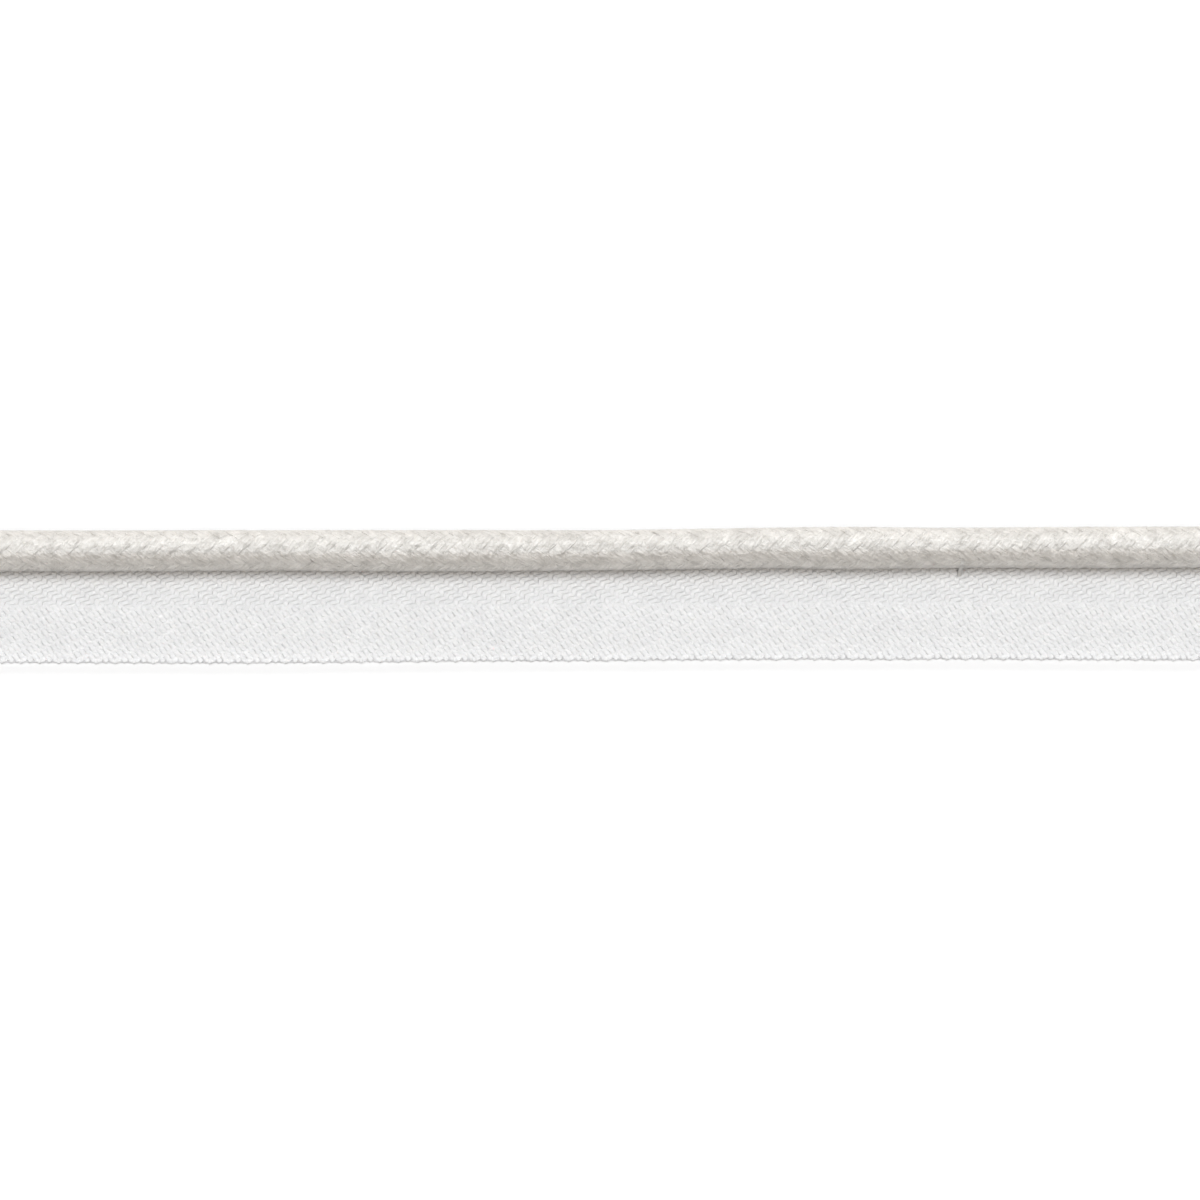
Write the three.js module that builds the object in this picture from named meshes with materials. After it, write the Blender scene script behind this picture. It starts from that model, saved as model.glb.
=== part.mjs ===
// A cut length of flanged piping: a round braided cord sewn along one edge of a flat woven lip.
// Millimetres. X runs along the strip, +Y is the cord's side, +Z is the face side, and z = 0 is
// the underside of the lip, on which the strip lies.
import * as THREE from 'three';

// Driving dimensions
const cutLength = 200;
const cordDiameter = 6.35;
const lipShown = 13.5; // from the cord's edge to the lip's free edge
const lipUnderCord = 1.6; // the lip's sewn edge, past the cord's centre line
const lipThickness = 1.0;
const lipPressed = 0.85; // the lip's thickness under the cord, where the sewing draws it thin
const pressedSlope = 0.5; // across the strip, from the full thickness to the pressed one
const seatGap = 0.3; // between the pressed lip and the cord
const seatFlat = 0.2; // how far the cord is pressed flat where it sits on the lip

// The braid: eight strands each way, so each turn has sixteen columns of crossings
const strandsEachWay = 8;
const braidRepeats = 79; // along the cut length
const grooveDepth = 0.28; // from a strand's crown to the dip between crossings

const selvageRound = 0.18; // softened corners of the lip's edges
const lipSteps = 17; // along the cut length

// How the strip wavers where it lies: at each station along it, how far the cord and the lip's
// free edge sit towards +Y of straight, and how thick the cord is against its diameter
const stations = [
  { along: -100, cordAside: -0.21, edgeAside: -0.16, girth: 0.99 },
  { along: -75, cordAside: -0.23, edgeAside: -0.28, girth: 1.0 },
  { along: -50, cordAside: -0.15, edgeAside: -0.3, girth: 0.99 },
  { along: -25, cordAside: -0.2, edgeAside: -0.04, girth: 1.01 },
  { along: 0, cordAside: -0.12, edgeAside: 0.06, girth: 0.98 },
  { along: 25, cordAside: 0.22, edgeAside: 0.25, girth: 0.99 },
  { along: 37, cordAside: 0.2, edgeAside: 0.2, girth: 1.03 },
  { along: 52, cordAside: 0.25, edgeAside: 0.3, girth: 0.98 },
  { along: 75, cordAside: 0.31, edgeAside: 0.18, girth: 1.0 },
  { along: 100, cordAside: 0.4, edgeAside: 0.15, girth: 0.99 },
];

const cordRadius = cordDiameter / 2;
const columns = 2 * strandsEachWay;
const halfRepeats = 2 * braidRepeats;
const cordHeight = lipPressed + seatGap + cordRadius - seatFlat;
const largestGirth = Math.max(...stations.map((row) => row.girth));

const cordMaterial = new THREE.MeshStandardMaterial({
  name: 'cord_yarn', color: 0xece7dc, roughness: 0.55, metalness: 0, flatShading: true,
});
const lipMaterial = new THREE.MeshStandardMaterial({
  name: 'lip_cotton', color: 0xf1f1f0, roughness: 0.85, metalness: 0, flatShading: true,
});

// A smooth curve through one column of the stations, read at any place along the strip
function waver(column) {
  const places = stations.map((row) => new THREE.Vector2(row.along, row[column]));
  const points = new THREE.SplineCurve(places).getPoints(8 * (places.length - 1));
  return (x) => {
    const next = Math.max(1, points.findIndex((point) => point.x >= x));
    const low = points[next - 1];
    const high = points[next];
    return THREE.MathUtils.mapLinear(x, low.x, high.x, low.y, high.y);
  };
}

const cordAside = waver('cordAside');
const edgeAside = waver('edgeAside');
const girth = waver('girth');

// One closed body along the strip. section(x, step) gives its outline across the strip, as (y, z)
// points turning from +Y to +Z, with the same count at every step. Each cell between two steps is
// two triangles, split from its first corner to the far one where foldsForward(step, corner) is true
function bodyAlong(steps, section, foldsForward, material, name) {
  const rings = [];
  for (let step = 0; step <= steps; step += 1) {
    const x = THREE.MathUtils.lerp(-cutLength / 2, cutLength / 2, step / steps);
    rings.push({ x, outline: section(x, step) });
  }
  const count = rings[0].outline.length;
  const points = rings.flatMap(({ x, outline }) => outline.flatMap(({ x: y, y: z }) => [x, y, z]));
  const corners = [];
  for (let step = 0; step < steps; step += 1) {
    for (let corner = 0; corner < count; corner += 1) {
      const [a, b] = [step * count + corner, step * count + ((corner + 1) % count)];
      const [c, d] = [b + count, a + count];
      corners.push(...(foldsForward(step, corner) ? [a, b, c, a, c, d] : [a, b, d, b, c, d]));
    }
  }
  const lastRing = steps * count;
  for (const [a, b, c] of THREE.ShapeUtils.triangulateShape(rings[0].outline, [])) {
    corners.push(c, b, a);
  }
  for (const [a, b, c] of THREE.ShapeUtils.triangulateShape(rings[steps].outline, [])) {
    corners.push(lastRing + a, lastRing + b, lastRing + c);
  }
  const geometry = new THREE.BufferGeometry();
  geometry.setAttribute('position', new THREE.Float32BufferAttribute(points, 3));
  geometry.setIndex(corners);
  geometry.computeVertexNormals();
  const mesh = new THREE.Mesh(geometry, material);
  mesh.name = name;
  return mesh;
}

// The cord: crowns, where a strand lies on top, and the dips between them alternate around it and
// along it, and it is pressed flat where it sits on the lip
function cordSection(x, step) {
  const outline = [];
  for (let column = 0; column < columns; column += 1) {
    const turn = (2 * Math.PI * column) / columns;
    const dip = (step + column) % 2 === 0 ? 0 : grooveDepth;
    const reach = cordRadius * girth(x) - dip;
    const up = Math.max(reach * Math.sin(turn), seatFlat - cordRadius);
    outline.push(new THREE.Vector2(cordAside(x) + reach * Math.cos(turn), cordHeight + up));
  }
  return outline;
}

// Each strand floats over two crossings, so round the cord the cells go in fours: ridges to one
// hand, dips between, ridges to the other hand, dips between
function strandFoldsForward(step, column) {
  const dipAtStart = (step + column) % 2 === 1;
  const place = column % 4;
  return place === 0 || (place !== 2 && dipAtStart);
}

// The lip: full thickness from its free selvage to beside the cord, then pressed thinner as far as
// its sewn selvage
function lipSection(x) {
  const free = edgeAside(x) - cordRadius - lipShown;
  const sewn = cordAside(x) + lipUnderCord;
  const beside = cordAside(x) - cordRadius * largestGirth;
  return [
    [sewn - selvageRound, 0],
    [sewn, selvageRound],
    [sewn, lipPressed - selvageRound],
    [sewn - selvageRound, lipPressed],
    [beside + pressedSlope, lipPressed],
    [beside, lipThickness],
    [free + selvageRound, lipThickness],
    [free, lipThickness - selvageRound],
    [free, selvageRound],
    [free + selvageRound, 0],
  ].map(([y, z]) => new THREE.Vector2(y, z));
}

const group = new THREE.Group();
group.add(bodyAlong(halfRepeats, cordSection, strandFoldsForward, cordMaterial, 'cord'));
group.add(bodyAlong(lipSteps, lipSection, () => true, lipMaterial, 'lip'));

// The origin goes under the middle of the whole strip
const box = new THREE.Box3().setFromObject(group);
const middle = box.getCenter(new THREE.Vector3());
group.position.set(-middle.x, -middle.y, -box.min.z);
group.updateMatrixWorld(true);

export default group;
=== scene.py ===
import math

import bmesh
import bpy
import numpy as np
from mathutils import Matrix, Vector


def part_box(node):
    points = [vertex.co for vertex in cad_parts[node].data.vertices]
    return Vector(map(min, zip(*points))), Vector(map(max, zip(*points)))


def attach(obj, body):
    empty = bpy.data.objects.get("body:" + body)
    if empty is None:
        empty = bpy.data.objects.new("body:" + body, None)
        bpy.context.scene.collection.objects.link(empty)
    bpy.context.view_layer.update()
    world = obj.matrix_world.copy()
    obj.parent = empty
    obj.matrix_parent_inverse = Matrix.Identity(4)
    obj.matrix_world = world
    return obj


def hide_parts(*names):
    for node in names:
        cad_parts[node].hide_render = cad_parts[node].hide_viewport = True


# Flanged piping, a cut length: a round braided cord sewn along one edge of a woven herringbone lip.
# The frame's numbers are metres. Sizes in the dictionaries below are millimetres.

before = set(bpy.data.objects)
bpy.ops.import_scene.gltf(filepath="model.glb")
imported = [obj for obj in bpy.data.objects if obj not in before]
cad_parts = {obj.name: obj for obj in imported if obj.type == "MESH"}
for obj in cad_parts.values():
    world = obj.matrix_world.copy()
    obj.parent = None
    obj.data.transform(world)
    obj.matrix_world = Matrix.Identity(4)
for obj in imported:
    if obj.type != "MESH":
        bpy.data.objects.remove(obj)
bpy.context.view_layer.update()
mm = 0.001

collection = bpy.context.scene.collection


# how the strip lies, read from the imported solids

def readAcross(node, everySecond=False):  # the least and largest y at each place along the strip, in mm
    points = np.array([vertex.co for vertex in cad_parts[node].data.vertices]) / mm
    places = np.unique(np.round(points[:, 0], 3))
    if everySecond:  # the steps where the cord's sides are crowns and not dips
        places = places[::2]
    rows = [points[np.abs(points[:, 0] - place) < 0.01, 1] for place in places]
    return places, np.array([row.min() for row in rows]), np.array([row.max() for row in rows])


cordPlaces, cordNear, cordFar = readAcross("cord", everySecond=True)
lipPlaces, lipFree, lipSewn = readAcross("lip")
cordMiddle = (cordNear + cordFar) / 2
cordLow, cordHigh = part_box("cord")
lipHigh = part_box("lip")[1]

strip = {
    "length": (cordHigh.x - cordLow.x) / mm,
    "cordRadius": 3.175,
    "cordBottom": cordLow.z / mm,
    "cordPressed": 0.2,  # how far the cord is pressed flat on the lip
    "lipThickness": lipHigh.z / mm,
    "lipPressed": 0.85,  # its thickness under the cord
    "lipWidth": float(np.mean(lipSewn - lipFree)),
    "selvage": 0.25,  # the width of the loops at each edge of the lip
}
strip["cordCentre"] = strip["cordBottom"] + strip["cordRadius"] - strip["cordPressed"]
strip["wovenWidth"] = strip["lipWidth"] - 2 * strip["selvage"]
print("strip:", {name: round(value, 3) for name, value in strip.items()})


# painted shade: how far the yarns are darkened where shade falls, round the cord by its turn from the lip's
# side, in degrees (on the lip's side of the crown and on the far side), and on the lip with the distance
# from the cord (the cord's painted shadow)
cordPaintedShade = {"turn": [-60, 0, 30, 78, 89, 112, 120, 150, 165, 180],
            "share": [1.0, 0.8, 0.5, 0.75, 0.0, 0.0, 0.35, 0.75, 0.85, 0.85]}
lipPaintedShade = {"share": 0.8, "reach": 1.1, "under": 1.5}

# how yarns flatten on what they lie on: the gap that stays, how far above it this starts, and how slowly
cordSeat = {"gap": 0.02, "start": 0.15, "ease": 0.3}
lipSeat = {"gap": 0.0, "start": 0.08, "ease": 0.08}
pressing = {"before": 0.1, "slope": 0.6}  # where the lip starts to thin beside the cord, and over how far


def takePoints(piece):
    points = np.empty(3 * len(piece.data.vertices), np.float32)
    piece.data.vertices.foreach_get("co", points)
    return points.reshape(-1, 3).astype(float) / mm


def givePoints(piece, points):
    piece.data.vertices.foreach_set("co", (points * mm).astype(np.float32).ravel())
    piece.data.update()


def markPaintedShade(piece, share):  # how far the yarn is darkened by painted shade at each point, for its material
    paintedShade = piece.data.attributes.new("paintedShade", "FLOAT", "POINT")
    paintedShade.data.foreach_set("value", share.astype(np.float32))


def flattenOn(z, height, seat):
    low = height + seat["gap"]
    eased = low + seat["start"] * np.exp((z - low - seat["start"]) / seat["ease"])
    return np.where(z < low + seat["start"], eased, z)


def layOnCord(piece):  # from a straight cord about the x axis to the place where it lies
    x, y, z = takePoints(piece).T
    centre = np.interp(x, cordPlaces, cordMiddle)
    girth = np.interp(x, cordPlaces, (cordFar - cordNear) / 2) / strip["cordRadius"]
    z = flattenOn(strip["cordCentre"] + z * girth, strip["cordBottom"], cordSeat)
    turn = np.degrees(np.arctan2(z - strip["cordCentre"], -y))  # from 0 beside the lip to 90 at the crown
    # painted shade round the cord, by the turn
    markPaintedShade(piece, np.interp(turn, cordPaintedShade["turn"], cordPaintedShade["share"]))
    givePoints(piece, np.stack([x, centre + y * girth, z], 1))


def layOnLip(piece):  # from a straight tape, its middle on the x axis, to the place where it lies
    x, y, z = takePoints(piece).T
    free = np.interp(x, lipPlaces, lipFree)
    sewn = np.interp(x, lipPlaces, lipSewn)
    y = free + (sewn - free) * (y / strip["lipWidth"] + 0.5)
    beside = np.interp(x, cordPlaces, cordNear)
    under = np.clip((y - beside + pressing["before"]) / pressing["slope"], 0, 1)
    press = strip["lipPressed"] / strip["lipThickness"]
    # painted shadow of the cord on the lip, fading away from the cord and under it
    away = np.where(y < beside, (beside - y) / lipPaintedShade["reach"], (y - beside) / lipPaintedShade["under"])
    markPaintedShade(piece, np.exp(-away) * lipPaintedShade["share"])
    z = flattenOn(z * (1 - (1 - press) * under), 0, lipSeat)
    givePoints(piece, np.stack([x, y, z], 1))


def cutSquare(piece):  # cuts both ends of a straight piece off square, and closes what the cut opens
    shape = bmesh.new()
    shape.from_mesh(piece.data)
    for side in (-1, 1):
        bmesh.ops.bisect_plane(
            shape, geom=[*shape.verts, *shape.edges, *shape.faces], clear_outer=True,
            plane_co=(side * strip["length"] / 2 * mm, 0, 0), plane_no=(side, 0, 0))
        opened = [edge for edge in shape.edges if edge.is_boundary]
        for face in bmesh.ops.holes_fill(shape, edges=opened, sides=0)["faces"]:
            face.smooth = False
    bmesh.ops.recalc_face_normals(shape, faces=shape.faces)
    shape.to_mesh(piece.data)
    shape.free()


# short ways to write node trees

class Wire:  # a node's output that can stand in a formula
    def __init__(self, tree, socket):
        self.tree, self.socket = tree, socket

    def __add__(self, other):
        return calc(self.tree, "ADD", self, other)

    def __sub__(self, other):
        return calc(self.tree, "SUBTRACT", self, other)

    def __rsub__(self, other):
        return calc(self.tree, "SUBTRACT", other, self)

    def __mul__(self, other):
        return calc(self.tree, "MULTIPLY", self, other)

    def __truediv__(self, other):
        return calc(self.tree, "DIVIDE", self, other)

    def __rtruediv__(self, other):
        return calc(self.tree, "DIVIDE", other, self)

    def __pow__(self, other):
        return calc(self.tree, "POWER", self, other)

    __radd__ = __add__
    __rmul__ = __mul__


def plug(tree, socket, value):
    if isinstance(value, Wire):
        tree.links.new(value.socket, socket)
    else:
        socket.default_value = value


def add(tree, kind, values=None, **settings):
    node = tree.nodes.new(kind)
    for setting, value in settings.items():
        setattr(node, setting, value)
    for name, value in (values or {}).items():
        plug(tree, node.inputs[name], value)
    return Wire(tree, node.outputs[0])


def calc(tree, operation, *values):
    node = tree.nodes.new("ShaderNodeMath")
    node.operation = operation
    for socket, value in zip(node.inputs, values):
        plug(tree, socket, value)
    return Wire(tree, node.outputs[0])


def joinXyz(tree, x, y, z):
    return add(tree, "ShaderNodeCombineXYZ", {"X": x, "Y": y, "Z": z})


def splitXyz(tree, vector):
    node = tree.nodes.new("ShaderNodeSeparateXYZ")
    plug(tree, node.inputs[0], vector)
    return [Wire(tree, output) for output in node.outputs]


def blend(low, high, share):
    return low + (high - low) * share


def noiseOf(tree, place, scale, detail):
    return add(tree, "ShaderNodeTexNoise", {"Vector": place, "Scale": scale, "Detail": detail})


# how far apart the numbered yarns, and the seeds, read the noise, so that no two are alike
noiseStep = {"strandTurn": 5.7, "strandReach": 3.1, "warp": 4.3, "weft": 6.1, "loop": 3.7, "seed": 7.3}
seedStep = {"strandReach": 9.0, "patches": 1.0, "weft": 3.0}  # further noises of the same piece


def noiseAt(tree, x, y, seed, size):  # from about -1 to 1
    place = joinXyz(tree, x / size, y, seed * noiseStep["seed"])
    return (noiseOf(tree, place, 1.0, 1.0) - 0.5) * 3.0


def newTree(name, sizes):  # an empty tree with a named input for each size
    tree = bpy.data.node_groups.new(name, "GeometryNodeTree")
    tree.interface.new_socket("Geometry", in_out="OUTPUT", socket_type="NodeSocketGeometry")
    kinds = {int: "NodeSocketInt", float: "NodeSocketFloat"}
    for label, value in sizes.items():
        tree.interface.new_socket(label, in_out="INPUT", socket_type=kinds[type(value)])
    tree.interface.new_socket("Material", in_out="INPUT", socket_type="NodeSocketMaterial")
    enter = tree.nodes.new("NodeGroupInput")
    return tree, {socket.name: Wire(tree, socket) for socket in enter.outputs if socket.name}


def closeTree(tree, geometry, material):  # millimetres to metres, then a plain mesh with its material
    scaled = add(tree, "GeometryNodeTransform", {"Geometry": geometry, "Scale": (mm, mm, mm)})
    smooth = add(tree, "GeometryNodeSetShadeSmooth", {"Geometry": scaled})
    real = add(tree, "GeometryNodeRealizeInstances", {"Geometry": smooth})
    done = add(tree, "GeometryNodeSetMaterial", {"Geometry": real, "Material": material})
    leave = tree.nodes.new("NodeGroupOutput")
    plug(tree, leave.inputs["Geometry"], done)


def growPiece(name, tree, sizes, material):  # runs a tree and keeps its result as a plain mesh
    piece = bpy.data.objects.new(name, bpy.data.meshes.new(name))
    collection.objects.link(piece)
    modifier = piece.modifiers.new("grow", "NODES")
    modifier.node_group = tree
    for item in tree.interface.items_tree:
        if item.item_type == "SOCKET" and item.in_out == "INPUT":
            modifier[item.identifier] = material if item.name == "Material" else sizes[item.name]
    depsgraph = bpy.context.evaluated_depsgraph_get()
    grown = bpy.data.meshes.new_from_object(
        piece.evaluated_get(depsgraph), preserve_all_data_layers=True, depsgraph=depsgraph)
    piece.modifiers.remove(modifier)
    piece.data = grown
    grown.name = name
    return piece


def copiesOf(tree, curve, count):  # the curve repeated, with each copy's number
    node = tree.nodes.new("GeometryNodeDuplicateElements")
    node.domain = "SPLINE"
    plug(tree, node.inputs["Geometry"], curve)
    plug(tree, node.inputs["Amount"], count)
    return Wire(tree, node.outputs["Geometry"]), Wire(tree, node.outputs["Duplicate Index"])


def middleLine(tree, length, axis, points):  # a straight line along an axis, its middle at the origin
    start = add(tree, "ShaderNodeCombineXYZ", {axis: length / -2.0})
    end = add(tree, "ShaderNodeCombineXYZ", {axis: length / 2.0})
    line = add(tree, "GeometryNodeCurvePrimitiveLine", {"Start": start, "End": end})
    return add(tree, "GeometryNodeResampleCurve", {"Curve": line, "Count": points})


def placeOf(tree):  # the x, y and z of each point
    return splitXyz(tree, add(tree, "GeometryNodeInputPosition"))


def moveTo(tree, geometry, place):
    return add(tree, "GeometryNodeSetPosition", {"Geometry": geometry, "Position": place})


def storeName(tree, geometry, name, value, kind="FLOAT", domain="POINT"):
    return add(tree, "GeometryNodeStoreNamedAttribute",
               {"Geometry": geometry, "Name": name, "Value": value}, data_type=kind, domain=domain)


def readName(tree, name):
    return add(tree, "GeometryNodeInputNamedAttribute", {"Name": name}, data_type="FLOAT")


faceUp = (0.0, 0.0, 1.0)
yarnSection = {"singles": 6.0, "crowdFirst": 0.47, "crowdSecond": 0.46}


def yarnBody(tree, curve, normal, width, thickness, sides, ridge=0.0, crowd=0.0, deeper=1.0):
    # sweeps an oval along a curve; ridge raises the single yarns that lie side by side in a strand,
    # crowd moves the corners to the shown face, and deeper is how much further the oval goes below it.
    # The UV map is the length in mm by the turn round the yarn
    circle = add(tree, "GeometryNodeCurvePrimitiveCircle", {"Resolution": sides, "Radius": 1.0})
    x, y, z = placeOf(tree)
    around = calc(tree, "ARCTAN2", y, x)
    around = around - (y * yarnSection["crowdFirst"] - x * y * yarnSection["crowdSecond"]) * crowd
    upward, sideways = calc(tree, "COSINE", around), calc(tree, "SINE", around)
    below = calc(tree, "LESS_THAN", upward, 0.0) * (deeper - 1.0) + 1.0
    lift = 1.0 + calc(tree, "COSINE", around * yarnSection["singles"]) * ridge
    oval = joinXyz(tree, upward * below * lift * (thickness / 2.0), sideways * (width / 2.0), 0.0)
    turned = add(tree, "GeometryNodeSetCurveNormal", {"Curve": curve, "Normal": normal}, mode="FREE")
    along = Wire(tree, tree.nodes.new("GeometryNodeSplineParameter").outputs["Length"])
    marked = storeName(tree, turned, "along", along)
    banded = storeName(tree, circle, "around", around / (2 * math.pi))
    body = add(tree, "GeometryNodeCurveToMesh", {
        "Curve": marked, "Profile Curve": moveTo(tree, banded, oval), "Fill Caps": True})
    mapped = joinXyz(tree, readName(tree, "along"), readName(tree, "around"), 0.0)
    return storeName(tree, body, "UVMap", mapped, "FLOAT2", "CORNER")


# finishes

def newMaterial(name, values):  # values are set on the shader's own sockets
    material = bpy.data.materials.new(name)
    material.use_nodes = True
    shader = material.node_tree.nodes["Principled BSDF"]
    for label, value in values.items():
        shader.inputs[label].default_value = value
    return material, material.node_tree, shader


def mixColours(tree, share, first, second, way="MIX"):
    node = tree.nodes.new("ShaderNodeMix")
    node.data_type = "RGBA"
    node.blend_type = way
    plug(tree, node.inputs["Factor"], share)
    colours = [socket for socket in node.inputs if socket.type == "RGBA"]
    plug(tree, colours[0], first)
    plug(tree, colours[1], second)
    return Wire(tree, [socket for socket in node.outputs if socket.type == "RGBA"][0])


def rangeOf(tree, value, fromRange, toRange):
    return add(tree, "ShaderNodeMapRange", {
        "Value": value, "From Min": fromRange[0], "From Max": fromRange[1],
        "To Min": toRange[0], "To Max": toRange[1]})


def giveRelief(tree, shader, height, depth):
    bump = tree.nodes.new("ShaderNodeBump")
    bump.inputs["Distance"].default_value = depth * mm
    bump.inputs["Strength"].default_value = 1.0
    plug(tree, bump.inputs["Height"], height)
    tree.links.new(bump.outputs["Normal"], shader.inputs["Normal"])


# in every yarn: how often the plies turn while the fibres turn once, where dark fibres end and light ones
# start, and how far the roughness goes to each side
fibres = {"turns": 3.0, "shadeRange": (0.32, 0.68), "roughRange": (0.3, 0.7), "roughChange": 0.06}


def yarnMaterial(name, look):
    # spun yarn: twisted fibres in relief along the UV map, and a soft change of shade over the piece
    material, tree, shader = newMaterial(name, {
        "Sheen Weight": look["sheen"], "Sheen Roughness": 0.5, "Specular IOR Level": look["specular"],
        "Diffuse Roughness": look["diffuse"], "Subsurface Weight": look["soft"],
        "Subsurface Radius": (1.0, 0.9, 0.8), "Subsurface Scale": look["softDepth"] * mm})
    shader.subsurface_method = "BURLEY"  # it spreads light from yarn to yarn
    place = tree.nodes.new("ShaderNodeTexCoord")
    here = Wire(tree, place.outputs["Object"])
    along, around = splitXyz(tree, Wire(tree, place.outputs["UV"]))[:2]
    twist = calc(tree, "SINE", (along / look["twist"] + around * look["plies"]) * (2 * math.pi))
    slanted = (around + along / look["twist"] / fibres["turns"]) * look["hairAround"]
    hair = noiseOf(tree, joinXyz(tree, along * look["hairAlong"], slanted, 0.0), 1.0, 2.0)
    lump = noiseOf(tree, here, look["lumpScale"], 2.0)
    relief = twist * look["twistRelief"] + hair * look["hairRelief"] + lump * look["lumpRelief"]
    giveRelief(tree, shader, relief, look["reliefDepth"])
    shade = noiseOf(tree, here, look["patchScale"], 3.0)
    fibre = calc(tree, "MULTIPLY_ADD", hair, 0.5, shade * 0.5)
    colour = mixColours(tree, rangeOf(tree, fibre, fibres["shadeRange"], (0.0, 1.0)),
                        (*look["dark"], 1), (*look["light"], 1))
    # painted shade: the colour is multiplied towards the shade colour by the yarn's paintedShade attribute
    paintedShade = tree.nodes.new("ShaderNodeAttribute")
    paintedShade.attribute_name = "paintedShade"
    shadedColour = mixColours(tree, Wire(tree, paintedShade.outputs["Fac"]), colour, (*look["paintedShade"], 1), "MULTIPLY")
    plug(tree, shader.inputs["Base Color"], shadedColour)
    roughest = look["roughness"] + fibres["roughChange"]
    smoothest = look["roughness"] - fibres["roughChange"]
    plug(tree, shader.inputs["Roughness"], rangeOf(tree, hair, fibres["roughRange"], (smoothest, roughest)))
    return material


cordYarnLook = {
    "dark": (0.41, 0.396, 0.373), "light": (0.65, 0.637, 0.614), "roughness": 0.42, "sheen": 0.05,
    "specular": 0.7, "twist": 12.0, "plies": 3.0, "hairAlong": 0.6, "hairAround": 16.0,
    "twistRelief": 0.0, "hairRelief": 1.0, "lumpScale": 1300.0, "lumpRelief": 1.8, "reliefDepth": 0.24,
    "patchScale": 500.0, "diffuse": 1.0, "soft": 0.25, "softDepth": 0.5,
    # paintedShade is the colour of the painted shade on the cord
    "paintedShade": (0.80, 0.772, 0.745),
}
lipCottonLook = {
    "dark": (0.68, 0.685, 0.695), "light": (0.75, 0.755, 0.762), "roughness": 0.8, "sheen": 0.2,
    "specular": 0.3, "twist": 0.55, "plies": 2.0, "hairAlong": 2.0, "hairAround": 9.0,
    "twistRelief": 0.3, "hairRelief": 0.8, "lumpScale": 700.0, "lumpRelief": 1.0, "reliefDepth": 0.05,
    "patchScale": 600.0, "diffuse": 0.3, "soft": 0.35, "softDepth": 0.3,
    # paintedShade is the warm colour of the painted shadow beside the cord
    "paintedShade": (0.82, 0.775, 0.72),
}
cordYarn = yarnMaterial("cordYarn", cordYarnLook)
lipCotton = yarnMaterial("lipCotton", lipCottonLook)


def groundMaterial(name, look):  # what lies behind the yarns: the same fibre, less clear
    material, tree, shader = newMaterial(name, {
        "Roughness": look["roughness"], "Sheen Weight": look["sheen"]})
    place = tree.nodes.new("ShaderNodeTexCoord")
    grain = noiseOf(tree, Wire(tree, place.outputs["Object"]), look["grainScale"], 4.0)
    ramp = tree.nodes.new("ShaderNodeValToRGB")
    stops = ramp.color_ramp.elements
    stops[0].position, stops[1].position = look["stops"]
    stops[0].color, stops[1].color = (*look["dark"], 1), (*look["light"], 1)
    plug(tree, ramp.inputs["Fac"], grain)
    tree.links.new(ramp.outputs["Color"], shader.inputs["Base Color"])
    giveRelief(tree, shader, grain, look["reliefDepth"])
    return material


clothGround = groundMaterial("clothGround", {
    "dark": (0.62, 0.62, 0.63), "light": (0.74, 0.74, 0.75), "roughness": 0.9, "sheen": 0.1,
    "grainScale": 4000.0, "stops": (0.35, 0.65), "reliefDepth": 0.05})
cordFilling = groundMaterial("cordFilling", {
    "dark": (0.50, 0.465, 0.41), "light": (0.62, 0.585, 0.53), "roughness": 0.8, "sheen": 0.1,
    "grainScale": 2500.0, "stops": (0.35, 0.65), "reliefDepth": 0.1})
print("materials: cord yarn, lip cotton, cloth ground, cord filling")


# the cord: sixteen flat strands in a 2/2 braid, eight to each hand

strandsEachWay = 8
braidRepeats = 79  # along the strip, as in its solid
cordSizes = {
    "Length": strip["length"] + 3.0,  # longer than the strip, until it is cut square
    "Strands": strandsEachWay, "Lead": strip["length"] * strandsEachWay / braidRepeats,
    "Mid Radius": 2.79, "Rise": 0.1, "Width": 2.12, "Thickness": 0.46, "Ridge": 0.08, "Sides": 12,
    "Points": 640, "Hand": 1.0, "Start Turn": 0.0, "Unevenness": 0.06, "Uneven Length": 2.6,
    "Swelling": 0.05, "Swelling Length": 1.3, "Seed": 3.0,
}


def radialOf(tree):  # straight out from the cord's centre line
    x, y, z = placeOf(tree)
    return add(tree, "ShaderNodeVectorMath", {0: joinXyz(tree, 0.0, y, z)}, operation="NORMALIZE")


def braidTree():
    tree, size = newTree("braidedStrands", cordSizes)
    line = middleLine(tree, size["Length"], "X", size["Points"])
    strands, number = copiesOf(tree, line, size["Strands"])
    x, y, z = placeOf(tree)
    uneven = noiseAt(
        tree, x, number * noiseStep["strandTurn"], size["Seed"] + size["Hand"], size["Uneven Length"])
    spacing = (2 * math.pi) / size["Strands"]
    turn = size["Hand"] * x * (2 * math.pi) / size["Lead"] + number * spacing + size["Start Turn"]
    turn = turn + uneven * size["Unevenness"]
    # a strand is over through one eighth of a turn and under through the next, and the two hands swap
    rise = calc(tree, "SINE", turn * size["Strands"] / 2.0) * size["Hand"] * size["Rise"]
    swelling = noiseAt(
        tree, x, number * noiseStep["strandReach"], size["Seed"] + seedStep["strandReach"],
        size["Swelling Length"])
    reach = size["Mid Radius"] + rise + swelling * size["Swelling"]
    cosine, sine = calc(tree, "COSINE", turn), calc(tree, "SINE", turn)
    wound = moveTo(tree, strands, joinXyz(tree, x, reach * cosine, reach * sine))
    body = yarnBody(
        tree, wound, radialOf(tree), size["Width"], size["Thickness"], size["Sides"], size["Ridge"])
    closeTree(tree, body, size["Material"])
    return tree


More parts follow.
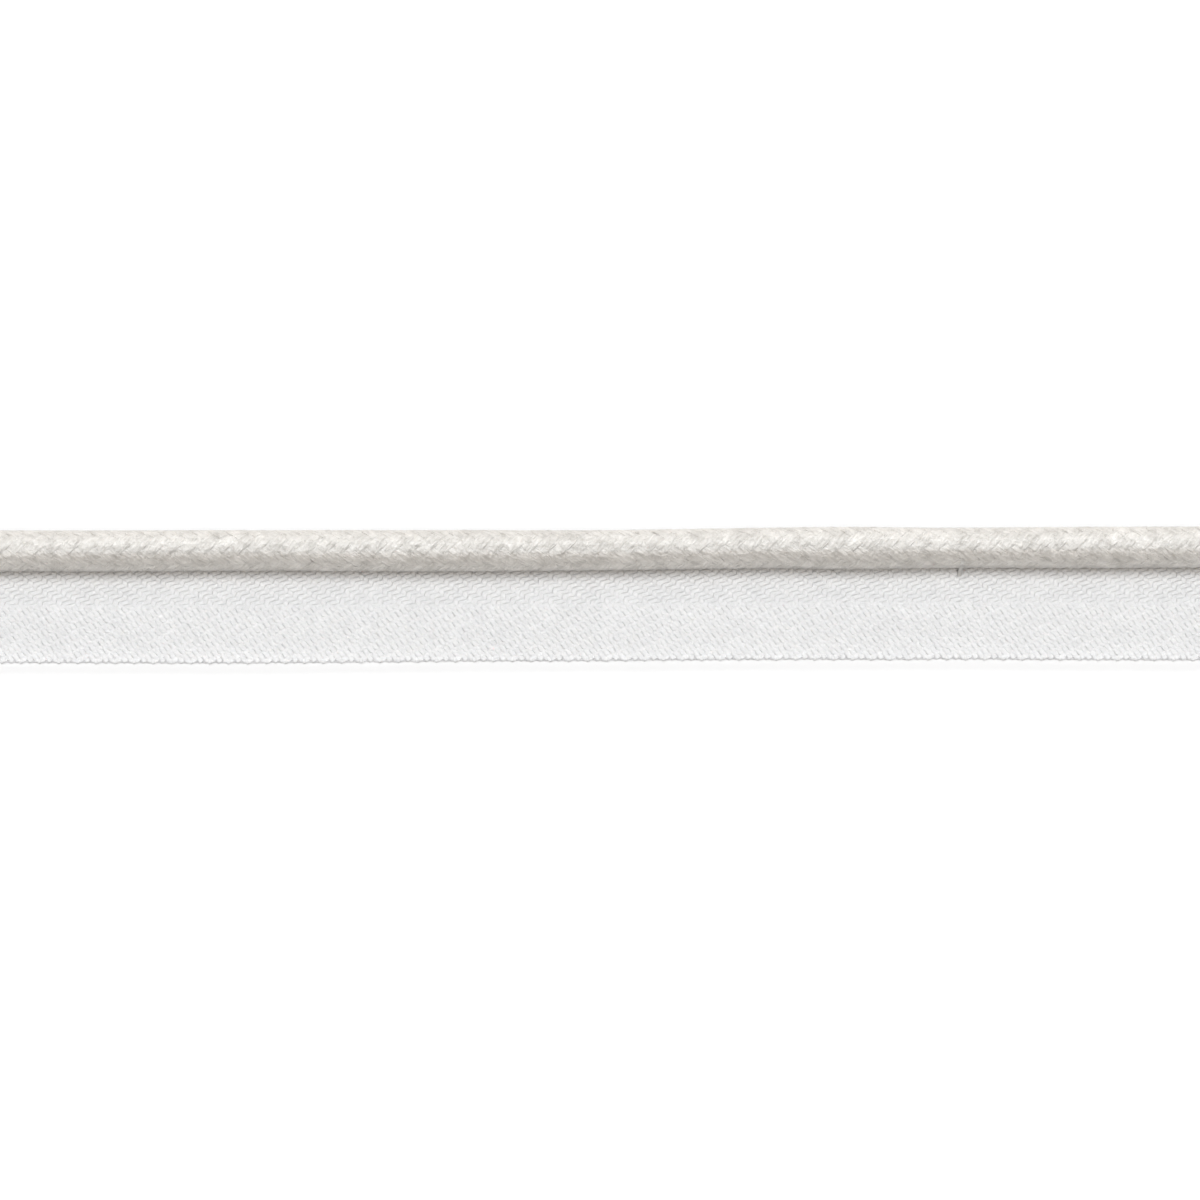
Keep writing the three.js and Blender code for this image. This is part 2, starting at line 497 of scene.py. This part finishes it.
braid = braidTree()
otherHand = {**cordSizes, "Hand": -1.0, "Start Turn": math.pi / strandsEachWay}
strandsForward = growPiece("strandsForward", braid, cordSizes, cordYarn)
strandsBack = growPiece("strandsBack", braid, otherHand, cordYarn)
for piece in (strandsForward, strandsBack):
    cutSquare(piece)
    layOnCord(piece)
    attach(piece, "root")
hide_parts("cord")
print("cord: strands", len(strandsForward.data.polygons), len(strandsBack.data.polygons))


# the lip: warp ends along the strip and weft picks across it, a four-end twill herringbone with one break

ends, breakEnd, picks = 41, 21, 284
lipSizes = {
    "Length": strip["length"], "Lip Width": strip["wovenWidth"], "Ends": ends, "Picks": picks,
    "Break End": float(breakEnd), "Lower Spacing": 0.38, "Rise": 0.095, "Sharpness": 1.8,
    "Middle Height": 0.58, "Patchiness": 0.5, "Patch Length": 4.0, "To Cord": 4.0, "Cord Swing": 1.0,
    "Edge Drop": 0.16, "Warp Width": 0.62, "Warp Thickness": 0.20, "Weft Width": 0.82,
    "Weft Thickness": 0.31, "Weft Lean": 0.5, "Warp Lean": 0.38, "Spot Lean": 0.2, "Spot Size": 0.6,
    "Lower Swing": 0.8, "Upper Swing": 2.4, "Unevenness": 0.05, "Warp Wander": 3.0, "Weft Wander": 2.0,
    "Sides": 6, "Warp Points": 2 * picks + 1, "Weft Points": 2 * ends + 1, "First": 0, "Count": 20,
    "Seed": 5.0,
}
wovenSection = {"crowd": 1.0, "deeper": 2.5}
twillRepeat = 4.0  # yarns in one repeat of the twill
leanReturn = 8.0  # how late a leaning float turns back


def overUnder(tree, phase, sharpness):  # 1 where a yarn is crossed, once in a repeat, and 0 between
    wave = (1.0 + calc(tree, "COSINE", phase * (2 * math.pi / twillRepeat))) / 2.0
    return wave ** sharpness


def leanOf(tree, phase):  # a float leans steadily over the yarns that it crosses, and comes back below
    place = calc(tree, "FRACT", phase / twillRepeat) * 2.0 - 1.0
    return place * (1.0 - calc(tree, "ABSOLUTE", place) ** leanReturn)


def patchesIn(tree, size, along, across):  # the weave is tighter in some places, and looser by the cord
    length = size["Patch Length"]
    patches = noiseAt(tree, along, across / length, size["Seed"] + seedStep["patches"], length)
    patches = 1.0 + patches * size["Patchiness"]
    byCord = add(tree, "ShaderNodeClamp", {"Value": across / size["To Cord"]})
    return patches * (1.0 + byCord * size["Cord Swing"])


def endSpacing(size):  # the break's distance from the free edge, and the spacing of the ends above it
    breakAt = size["Break End"] * size["Lower Spacing"]
    return breakAt, (size["Lip Width"] - breakAt) / (size["Ends"] - size["Break End"])


def warpTree():
    tree, size = newTree("warpEnds", lipSizes)
    half = size["Length"] / 2.0
    line = middleLine(tree, size["Length"], "X", size["Warp Points"])
    copies, number = copiesOf(tree, line, size["Count"])
    end = number + size["First"]
    x, y, z = placeOf(tree)
    pick = (x + half) * size["Picks"] / size["Length"] - 0.5
    fromBreak = end - size["Break End"]
    upper = calc(tree, "GREATER_THAN", fromBreak, -0.5)
    sinks = overUnder(tree, pick + fromBreak, size["Sharpness"])
    rises = overUnder(tree, pick - fromBreak, size["Sharpness"])
    wave = blend(rises * size["Lower Swing"] - 1.0, 1.0 - sinks * size["Upper Swing"], upper)
    breakAt, upperSpacing = endSpacing(size)
    across = breakAt - size["Lip Width"] / 2.0
    across = across + (fromBreak + 0.5) * blend(size["Lower Spacing"], upperSpacing, upper)
    slant = leanOf(tree, pick + fromBreak) * upper * size["Warp Lean"]
    wander = noiseAt(tree, x, end * noiseStep["warp"], size["Seed"], size["Warp Wander"])
    height = size["Middle Height"] + wave * size["Rise"] * patchesIn(tree, size, x + half, across)
    height = height - calc(tree, "LESS_THAN", end, 0.5) * size["Edge Drop"]
    woven = moveTo(tree, copies, joinXyz(tree, x, across + slant + wander * size["Unevenness"], height))
    body = yarnBody(
        tree, woven, faceUp, size["Warp Width"], size["Warp Thickness"], size["Sides"], **wovenSection)
    closeTree(tree, body, size["Material"])
    return tree


def weftTree():
    tree, size = newTree("weftPicks", lipSizes)
    line = middleLine(tree, size["Lip Width"], "Y", size["Weft Points"])
    copies, number = copiesOf(tree, line, size["Count"])
    pick = number + size["First"]
    x, y, z = placeOf(tree)
    breakAt, upperSpacing = endSpacing(size)
    beyond = y + size["Lip Width"] / 2.0 - breakAt
    side = calc(tree, "GREATER_THAN", beyond, 0.0)
    fromBreak = beyond / blend(size["Lower Spacing"], upperSpacing, side) - 0.5
    upper = add(tree, "ShaderNodeClamp", {"Value": fromBreak + 0.5})
    sinks = overUnder(tree, pick + fromBreak, size["Sharpness"])
    rises = overUnder(tree, pick - fromBreak, size["Sharpness"])
    wave = blend(1.0 - rises * size["Lower Swing"], sinks * size["Upper Swing"] - 1.0, upper)
    lean = leanOf(tree, pick - fromBreak) * (1.0 - upper) * size["Weft Lean"]
    lean = lean + leanOf(tree, pick + fromBreak + twillRepeat / 2) * upper * size["Spot Lean"]
    wander = noiseAt(
        tree, y, pick * noiseStep["weft"], size["Seed"] + seedStep["weft"], size["Weft Wander"])
    along = (pick + 0.5) * (size["Length"] / size["Picks"])
    height = size["Middle Height"] + wave * size["Rise"] * patchesIn(tree, size, along, y)
    along = along - size["Length"] / 2.0 + lean + wander * size["Unevenness"]
    woven = moveTo(tree, copies, joinXyz(tree, along, y, height))
    thin = blend(1.0, size["Spot Size"], upper)
    woven = add(tree, "GeometryNodeSetCurveRadius", {"Curve": woven, "Radius": thin})
    body = yarnBody(
        tree, woven, faceUp, size["Weft Width"], size["Weft Thickness"], size["Sides"], **wovenSection)
    closeTree(tree, body, size["Material"])
    return tree


def growYarns(name, tree, first, count):
    return growPiece(name, tree, {**lipSizes, "First": first, "Count": count}, lipCotton)


warp, weft = warpTree(), weftTree()
lipPieces = [
    growYarns("warpLower", warp, 0, breakEnd),
    growYarns("warpUpper", warp, breakEnd, ends - breakEnd),
    growYarns("weftLeft", weft, 0, picks // 2),
    growYarns("weftRight", weft, picks // 2, picks // 2),
]
for piece in lipPieces:
    layOnLip(piece)
    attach(piece, "root")
print("lip: yarns", [len(piece.data.polygons) for piece in lipPieces])


# the selvages: a row of loops along each edge of the lip

loopSizes = {
    "Length": strip["length"], "Lip Width": strip["wovenWidth"], "Picks": picks, "First Pick": 0.0,
    "Edge": -1.0, "Reach": 0.1, "Tuck": 0.1, "Pairing": 0.24, "Middle Height": 0.36, "Width": 0.44,
    "Thickness": 0.3, "Sides": 6, "Points": 9, "Count": picks // 2, "Unevenness": 0.09, "Seed": 11.0,
}


def loopTree():  # where each weft yarn turns back round the last warp end, every second pick
    tree, size = newTree("selvageLoops", loopSizes)
    line = middleLine(tree, 2.0, "X", size["Points"])
    copies, number = copiesOf(tree, line, size["Count"])
    x, y, z = placeOf(tree)
    spacing = size["Length"] / size["Picks"]
    angle = x * (math.pi / 2)
    uneven = noiseAt(tree, number * noiseStep["loop"], 1.5, size["Seed"], 1.0) * size["Unevenness"]
    along = (number * 2.0 + size["First Pick"] + 1.0) * spacing - size["Length"] / 2.0
    along = along + calc(tree, "SINE", angle) * spacing * 0.5
    along = along + calc(tree, "COSINE", number * math.pi) * size["Pairing"]  # the loops lie in twos
    out = size["Lip Width"] / 2.0 - size["Tuck"] + calc(tree, "COSINE", angle) * (size["Reach"] + uneven)
    place = joinXyz(tree, along + uneven * 0.5, out * size["Edge"], size["Middle Height"] + uneven)
    turned = moveTo(tree, copies, place)
    body = yarnBody(tree, turned, faceUp, size["Width"], size["Thickness"], size["Sides"])
    closeTree(tree, body, size["Material"])
    return tree


loops = loopTree()
sewnSide = {**loopSizes, "Edge": 1.0, "First Pick": 1.0, "Count": picks // 2 - 1}
lipPieces += [
    growPiece("loopsFree", loops, loopSizes, lipCotton),
    growPiece("loopsSewn", loops, sewnSide, lipCotton),
]
for piece in lipPieces[-2:]:
    layOnLip(piece)
    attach(piece, "root")
print("selvages: loops", [len(piece.data.polygons) for piece in lipPieces[-2:]])


# a wisp of yarn, pulled out of the cord and caught on the lip

wispSizes = {"Width": 0.65, "Thickness": 0.24, "Sides": 10, "Points": 17}
wispPlace = {
    "along": 53.7, "start": (0.15, 1.1, 6.4), "startHandle": (0.1, 0.1, 6.35),
    "endHandle": (-0.15, -0.1, 1.3), "end": (-0.2, -1.1, 0.93), "faces": (0.0, -0.7, 0.7),
    "taper": (0.96, 0.06),  # thin at both ends, and never nothing
}


def wispTree(place):
    tree, size = newTree("wisp", wispSizes)
    curve = add(tree, "GeometryNodeCurvePrimitiveBezierSegment", {
        "Start": place["start"], "Start Handle": place["startHandle"],
        "End Handle": place["endHandle"], "End": place["end"]}, mode="POSITION")
    curve = add(tree, "GeometryNodeResampleCurve", {"Curve": curve, "Count": size["Points"]})
    along = Wire(tree, tree.nodes.new("GeometryNodeSplineParameter").outputs["Factor"])
    spread, least = place["taper"]
    thin = calc(tree, "SQRT", calc(tree, "SINE", along * (math.pi * spread) + least))
    curve = add(tree, "GeometryNodeSetCurveRadius", {"Curve": curve, "Radius": thin})
    body = yarnBody(tree, curve, place["faces"], size["Width"], size["Thickness"], size["Sides"])
    closeTree(tree, body, size["Material"])
    return tree


wisp = growPiece("pulledWisp", wispTree(wispPlace), wispSizes, cordYarn)
besideCord = np.interp(wispPlace["along"], cordPlaces, cordNear)
givePoints(wisp, takePoints(wisp) + (wispPlace["along"], besideCord, 0))
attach(wisp, "root")


# the sewing: a zigzag of thread under the lip that comes up into the cord at each stitch

threadSizes = {
    "Length": strip["length"] - 1.0, "Stitch": 3.0, "Swing": 0.45, "Low": 0.07, "High": 1.75,
    "Sharpness": 14.0, "Thickness": 0.26, "Sides": 6, "Points": 1001,
}


def threadTree():
    tree, size = newTree("sewingThread", threadSizes)
    line = middleLine(tree, size["Length"], "X", size["Points"])
    x, y, z = placeOf(tree)
    zigzag = calc(tree, "SINE", x / size["Stitch"] * math.pi)
    lift = calc(tree, "ABSOLUTE", zigzag) ** size["Sharpness"]
    place = joinXyz(tree, x, zigzag * size["Swing"], blend(size["Low"], size["High"], lift))
    sewn = moveTo(tree, line, place)
    body = yarnBody(tree, sewn, faceUp, size["Thickness"], size["Thickness"], size["Sides"])
    closeTree(tree, body, size["Material"])
    return tree


sewingThread = growPiece("sewingThread", threadTree(), threadSizes, lipCotton)
x, y, z = takePoints(sewingThread).T
givePoints(sewingThread, np.stack([x, y + np.interp(x, cordPlaces, cordMiddle), z], 1))
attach(sewingThread, "root")
print("wisp and sewing:", len(wisp.data.polygons), len(sewingThread.data.polygons))


# the cloth's own sheet between its yarns, and the core behind the cord's strands

def meshPiece(name, points, faces, material):
    mesh = bpy.data.meshes.new(name)
    mesh.from_pydata([tuple(point) for point in points], [], faces)
    mesh.materials.append(material)
    mesh.polygons.foreach_set("use_smooth", [True] * len(mesh.polygons))
    mesh.update()
    piece = bpy.data.objects.new(name, mesh)
    collection.objects.link(piece)
    return piece


def loft(name, rings, material):  # closed rings of the same count, with both ends capped
    count = len(rings[0])
    faces = [list(range(count))[::-1]]
    for ring in range(len(rings) - 1):
        for corner in range(count):
            after = (corner + 1) % count
            low, high = ring * count, (ring + 1) * count
            faces.append([low + corner, low + after, high + after, high + corner])
    last = (len(rings) - 1) * count
    faces.append([last + corner for corner in range(count)])
    return meshPiece(name, np.concatenate(rings) * mm, faces, material)


groundSizes = {"middle": 0.52, "thickness": 0.2, "inset": 0.3, "setBack": 0.1, "steps": 100, "cells": 8}


def makeGround(sizes):
    wide = strip["lipWidth"] / 2 - sizes["inset"]
    across = np.linspace(-wide, wide, sizes["cells"] + 1)
    middle, half = sizes["middle"], sizes["thickness"] / 2
    outline = [(y, middle + half) for y in across[::-1]] + [(y, middle - half) for y in across]
    reach = strip["length"] / 2 - sizes["setBack"]
    places = np.linspace(-reach, reach, sizes["steps"] + 1)
    rings = [np.array([(x, y, z) for y, z in outline]) for x in places]
    return loft("lipCloth", rings, clothGround)


lipCloth = makeGround(groundSizes)
layOnLip(lipCloth)
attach(lipCloth, "root")
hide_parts("lip")


coreSizes = {"radius": 2.88, "steps": 100, "sides": 40, "setBack": 0.25}


def makeCore(sizes):
    reach = strip["length"] / 2 - sizes["setBack"]
    turns = np.linspace(0, 2 * np.pi, sizes["sides"], endpoint=False)
    y, z = sizes["radius"] * np.cos(turns), sizes["radius"] * np.sin(turns)
    places = np.linspace(-reach, reach, sizes["steps"] + 1)
    rings = [np.stack([np.full_like(turns, x), y, z], 1) for x in places]
    return loft("cordCore", rings, cordFilling)


cordCore = makeCore(coreSizes)
layOnCord(cordCore)
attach(cordCore, "root")
print("ground and core")


# floor, light and camera

floorSizes = {"half": 2000.0, "below": 0.02}
floorWhite = newMaterial("floorWhite", {
    "Base Color": (0.775, 0.78, 0.785, 1), "Roughness": 0.9, "Specular IOR Level": 0.1})[0]
corners = [(-1, -1), (1, -1), (1, 1), (-1, 1)]
floorPoints = [(x * floorSizes["half"], y * floorSizes["half"], -floorSizes["below"]) for x, y in corners]
floor = meshPiece("floor", np.array(floorPoints) * mm, [[0, 1, 2, 3]], floorWhite)

lights = {
    "overhead": {"strength": 2.35, "angle": 26, "height": 77, "colour": (1.0, 1.0, 1.0)},
    "side": {"strength": 2.9, "angle": 16, "height": 19, "colour": (0.98, 0.99, 1.0)},
    "fill": {"strength": 1.5, "angle": 40, "height": 108, "colour": (1.0, 0.975, 0.95)},
}
for name, look in lights.items():  # height is the light's angle above the floor, from the cord's side
    lamp = bpy.data.lights.new(name, "SUN")
    lamp.energy = look["strength"]
    lamp.angle = math.radians(look["angle"])
    lamp.color = look["colour"]
    shown = bpy.data.objects.new(name, lamp)
    shown.rotation_euler = (math.radians(look["height"] - 90), 0, 0)
    collection.objects.link(shown)

room = {"colour": (1, 1, 1, 1), "strength": 0.02}
world = bpy.data.worlds.new("room")
world.use_nodes = True
background = world.node_tree.nodes["Background"]
background.inputs["Color"].default_value = room["colour"]
background.inputs["Strength"].default_value = room["strength"]
bpy.context.scene.world = world
bpy.context.scene.view_settings.view_transform = "Standard"

# height is in metres; acrossFrame is what the picture shows at the height of scaleHeight
view = {"height": 1.5, "scaleHeight": 3.0, "acrossFrame": 178.57, "middle": (0.0, -0.80), "sensor": 36.0}
camera = bpy.data.objects.new("camera", bpy.data.cameras.new("camera"))
camera.data.sensor_width = view["sensor"]
camera.data.lens = view["sensor"] * (view["height"] / mm - view["scaleHeight"]) / view["acrossFrame"]
camera.data.clip_start, camera.data.clip_end = 0.01, 50.0
camera.location = (view["middle"][0] * mm, view["middle"][1] * mm, view["height"])
collection.objects.link(camera)
bpy.context.scene.camera = camera
print("floor, lights and camera")
